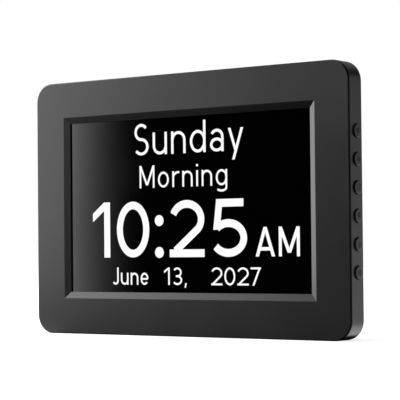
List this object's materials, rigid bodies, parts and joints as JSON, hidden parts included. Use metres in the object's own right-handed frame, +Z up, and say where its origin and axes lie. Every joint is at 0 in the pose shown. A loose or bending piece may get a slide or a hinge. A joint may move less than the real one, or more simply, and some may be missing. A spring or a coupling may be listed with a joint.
{
  "type": "day clock",
  "caption": "Slim upright display clock with a bevelled window, round push buttons down one side and a screw-in peg stand at the rear.",
  "frame": {"origin": "on the table, at the centre of the footprint of the clock with its peg stand", "axes": "+X to the right seen from the front, +Y from the face towards the rear, +Z up"},
  "size_m": [0.2009, 0.073, 0.136],
  "materials": {
    "face_plastic": "satin charcoal moulded plastic with a very fine spark-eroded grain",
    "case_plastic": "satin charcoal moulded plastic with a fine grain",
    "button_plastic": "satin charcoal moulded plastic, slightly smoother than the case",
    "switch_plastic": "black moulded plastic",
    "screen_glass": "black polished screen glass, opaque when seen from outside",
    "foam": "black closed-cell foam tape",
    "screw_steel": "black zinc plated steel screws",
    "brass": "turned brass",
    "peg_plastic": "steel rod with satin black coating",
    "foot_rubber": "black moulded rubber",
    "white_plastic": "white moulded plastic",
    "clear_plastic": "clear polished acrylic",
    "sheet_steel": "bright plated sheet steel",
    "circuit_board": "green solder resist over glass fibre board",
    "chip_plastic": "black moulding compound",
    "can_aluminium": "aluminium can",
    "ribbon_film": "amber polyimide film",
    "speaker_plastic": "black moulded plastic",
    "speaker_paper": "dark pressed paper",
    "magnet": "grey ferrite magnet",
    "wire_jacket": "red and black insulated wire"
  },
  "bodies": {
    "clock": {"front_frame": "face_plastic", "main_housing": "case_plastic", "back_cover": "case_plastic", "switch_bodies": "switch_plastic", "lcd_panel": "screen_glass", "screen_gasket": "foam", "foam_pads": "foam", "housing_screws": "screw_steel", "back_cover_screws": "screw_steel", "chassis_screws": "screw_steel", "board_screws": "screw_steel", "key_board_screws": "screw_steel", "stand_insert": "brass", "board_standoffs": "brass", "lcd_mould_frame": "white_plastic", "reflector_sheet": "white_plastic", "backlight_leds": "white_plastic", "board_key_connector": "white_plastic", "speaker_connector": "white_plastic", "key_connector": "white_plastic", "optical_films": "clear_plastic", "light_guide": "clear_plastic", "lcd_back_tray": "sheet_steel", "chassis_plate": "sheet_steel", "coin_cell": "sheet_steel", "coin_cell_clip": "sheet_steel", "clock_crystal": "sheet_steel", "dc_jack_pin": "sheet_steel", "main_board": "circuit_board", "key_board": "circuit_board", "backlight_strip": "circuit_board", "processor_chip": "chip_plastic", "memory_chips": "chip_plastic", "power_inductor": "chip_plastic", "coin_cell_holder": "chip_plastic", "dc_jack": "chip_plastic", "lcd_connector": "chip_plastic", "capacitors": "can_aluminium", "lcd_flex_cable": "ribbon_film", "key_cable": "ribbon_film", "speaker_frame": "speaker_plastic", "speaker_cone": "speaker_paper", "speaker_magnet": "magnet", "speaker_wires": "wire_jacket"},
    "button_previous_body": {"button_previous": "button_plastic", "plunger_previous": "switch_plastic"},
    "button_next_body": {"button_next": "button_plastic", "plunger_next": "switch_plastic"},
    "button_select_body": {"button_select": "button_plastic", "plunger_select": "switch_plastic"},
    "button_up_body": {"button_up": "button_plastic", "plunger_up": "switch_plastic"},
    "button_down_body": {"button_down": "button_plastic", "plunger_down": "switch_plastic"},
    "button_power_body": {"button_power": "button_plastic", "plunger_power": "switch_plastic"},
    "stand": {"stand_peg": "peg_plastic", "stand_foot": "foot_rubber"}
  },
  "joints": [
    {"name": "press_previous", "type": "slide", "parent": "clock", "child": "button_previous_body", "axis": [-1, 0, 0], "range_m": [0, 0.0005], "stiffness_N_per_m": 2000, "springref_m": -0.0003},
    {"name": "press_next", "type": "slide", "parent": "clock", "child": "button_next_body", "axis": [-1, 0, 0], "range_m": [0, 0.0005], "stiffness_N_per_m": 2000, "springref_m": -0.0003},
    {"name": "press_select", "type": "slide", "parent": "clock", "child": "button_select_body", "axis": [-1, 0, 0], "range_m": [0, 0.0005], "stiffness_N_per_m": 2000, "springref_m": -0.0003},
    {"name": "press_up", "type": "slide", "parent": "clock", "child": "button_up_body", "axis": [-1, 0, 0], "range_m": [0, 0.0005], "stiffness_N_per_m": 2000, "springref_m": -0.0003},
    {"name": "press_down", "type": "slide", "parent": "clock", "child": "button_down_body", "axis": [-1, 0, 0], "range_m": [0, 0.0005], "stiffness_N_per_m": 2000, "springref_m": -0.0003},
    {"name": "press_power", "type": "slide", "parent": "clock", "child": "button_power_body", "axis": [-1, 0, 0], "range_m": [0, 0.0005], "stiffness_N_per_m": 2000, "springref_m": -0.0003},
    {"name": "screw_in_stand", "type": "hinge", "parent": "clock", "child": "stand", "pos_m": [0, -0.0075, 0.044], "axis": [0, 0.7071, -0.7071], "range_deg": [0, 2700]}
  ]
}
